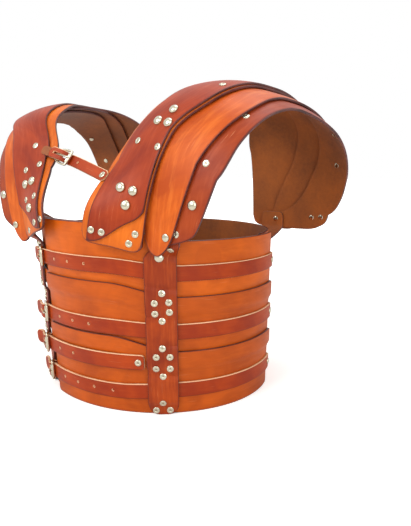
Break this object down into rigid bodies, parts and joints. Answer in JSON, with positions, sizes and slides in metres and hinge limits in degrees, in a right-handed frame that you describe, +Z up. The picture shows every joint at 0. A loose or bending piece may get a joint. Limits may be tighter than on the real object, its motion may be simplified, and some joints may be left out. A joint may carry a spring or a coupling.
{
  "type": "leather chest armour",
  "caption": "Leather chest armour: a buckled girdle of overlapping bands round the torso, arched, lamed shoulder guards riveted to upright straps, and a chest strap.",
  "frame": {"origin": "middle of the bounding box, on the plane of the girdle's lower edge", "axes": "+Z up, -Y to the front of the chest, +Y to the back, +X to the wearer's left"},
  "size_m": [0.5454, 0.3404, 0.4499],
  "materials": {
    "hide_orange": "orange-tan oiled hide with burnished dark edges",
    "hide_russet": "russet-brown oiled hide with burnished dark edges",
    "nickel": "polished nickel plate, slightly warm"
  },
  "bodies": {
    "harness": {"buckle_chest_chape": "hide_russet", "buckle_chest_frame": "nickel", "buckle_first_chape": "hide_russet", "buckle_first_frame": "nickel", "buckle_fourth_chape": "hide_russet", "buckle_fourth_frame": "nickel", "buckle_second_chape": "hide_russet", "buckle_second_frame": "nickel", "buckle_third_chape": "hide_russet", "buckle_third_frame": "nickel", "chest_strap": "hide_russet", "girdle_inner_lame_1": "hide_orange", "girdle_inner_lame_2": "hide_orange", "girdle_inner_lame_3": "hide_orange", "girdle_outer_lame_1": "hide_orange", "girdle_outer_lame_2": "hide_orange", "girdle_outer_lame_3": "hide_orange", "girdle_strap_first": "hide_russet", "girdle_strap_fourth": "hide_russet", "girdle_strap_second": "hide_russet", "girdle_strap_third": "hide_russet", "girdle_upright_left_front": "hide_russet", "girdle_upright_left_rear": "hide_russet", "girdle_upright_right_front": "hide_russet", "girdle_upright_right_rear": "hide_russet", "left_front_pivot_rivet": "nickel", "left_guard_lame_1": "hide_orange", "left_guard_overlay": "hide_russet", "left_rear_pivot_rivet": "nickel", "right_front_pivot_rivet": "nickel", "right_guard_lame_1": "hide_orange", "right_guard_overlay": "hide_russet", "right_rear_pivot_rivet": "nickel"},
    "left_lame_2": {"left_guard_lame_2": "hide_orange"},
    "left_lame_3": {"left_guard_lame_3": "hide_russet"},
    "right_lame_2": {"right_guard_lame_2": "hide_orange"},
    "right_lame_3": {"right_guard_lame_3": "hide_russet"},
    "buckle_chest_tongue": {"buckle_chest_tongue": "nickel"},
    "buckle_chest_roller": {"buckle_chest_roller": "nickel"},
    "buckle_first_tongue": {"buckle_first_tongue": "nickel"},
    "buckle_first_roller": {"buckle_first_roller": "nickel"},
    "buckle_fourth_tongue": {"buckle_fourth_tongue": "nickel"},
    "buckle_fourth_roller": {"buckle_fourth_roller": "nickel"},
    "buckle_second_tongue": {"buckle_second_tongue": "nickel"},
    "buckle_second_roller": {"buckle_second_roller": "nickel"},
    "buckle_third_tongue": {"buckle_third_tongue": "nickel"},
    "buckle_third_roller": {"buckle_third_roller": "nickel"}
  },
  "joints": [
    {"name": "left_lame_2_swing", "type": "hinge", "parent": "harness", "child": "left_lame_2", "pos_m": [0.142, -0.14075, 0.243], "axis": [0, 1, 0], "range_deg": [-5, 6]},
    {"name": "left_lame_3_swing", "type": "hinge", "parent": "left_lame_2", "child": "left_lame_3", "pos_m": [0.142, -0.14075, 0.243], "axis": [0, 1, 0], "range_deg": [-5, 6]},
    {"name": "right_lame_2_swing", "type": "hinge", "parent": "harness", "child": "right_lame_2", "pos_m": [-0.142, -0.14075, 0.243], "axis": [0, -1, 0], "range_deg": [-5, 6]},
    {"name": "right_lame_3_swing", "type": "hinge", "parent": "right_lame_2", "child": "right_lame_3", "pos_m": [-0.142, -0.14075, 0.243], "axis": [0, -1, 0], "range_deg": [-5, 6]},
    {"name": "buckle_chest_tongue_swing", "type": "hinge", "parent": "harness", "child": "buckle_chest_tongue", "pos_m": [-0.05344, -0.12641, 0.34343], "axis": [-0.2364, -0.4964, -0.8353], "range_deg": [0, 45]},
    {"name": "buckle_chest_roller_spin", "type": "hinge", "parent": "harness", "child": "buckle_chest_roller", "pos_m": [-0.03379, -0.12518, 0.33873], "axis": [0.2364, 0.4964, 0.8353], "continuous": true},
    {"name": "buckle_first_tongue_swing", "type": "hinge", "parent": "harness", "child": "buckle_first_tongue", "pos_m": [-0.0932, -0.1309, 0.2025], "axis": [0.0133, 0.0235, -0.9996], "range_deg": [0, 45]},
    {"name": "buckle_first_roller_spin", "type": "hinge", "parent": "harness", "child": "buckle_first_roller", "pos_m": [-0.0779, -0.14541, 0.2025], "axis": [-0.0133, -0.0235, 0.9996], "continuous": true},
    {"name": "buckle_fourth_tongue_swing", "type": "hinge", "parent": "harness", "child": "buckle_fourth_tongue", "pos_m": [-0.09089, -0.12682, 0.0305], "axis": [0.0133, 0.0235, -0.9996], "range_deg": [0, 45]},
    {"name": "buckle_fourth_roller_spin", "type": "hinge", "parent": "harness", "child": "buckle_fourth_roller", "pos_m": [-0.07562, -0.14137, 0.0305], "axis": [-0.0133, -0.0235, 0.9996], "continuous": true},
    {"name": "buckle_second_tongue_swing", "type": "hinge", "parent": "harness", "child": "buckle_second_tongue", "pos_m": [-0.09412, -0.1312, 0.1205], "axis": [0.0133, 0.0235, -0.9996], "range_deg": [0, 45]},
    {"name": "buckle_second_roller_spin", "type": "hinge", "parent": "harness", "child": "buckle_second_roller", "pos_m": [-0.07681, -0.14348, 0.1205], "axis": [-0.0133, -0.0235, 0.9996], "continuous": true},
    {"name": "buckle_third_tongue_swing", "type": "hinge", "parent": "harness", "child": "buckle_third_tongue", "pos_m": [-0.09288, -0.13105, 0.0745], "axis": [0.0132, 0.0235, -0.9996], "range_deg": [0, 45]},
    {"name": "buckle_third_roller_spin", "type": "hinge", "parent": "harness", "child": "buckle_third_roller", "pos_m": [-0.07739, -0.1458, 0.0745], "axis": [-0.0132, -0.0235, 0.9996], "continuous": true}
  ]
}
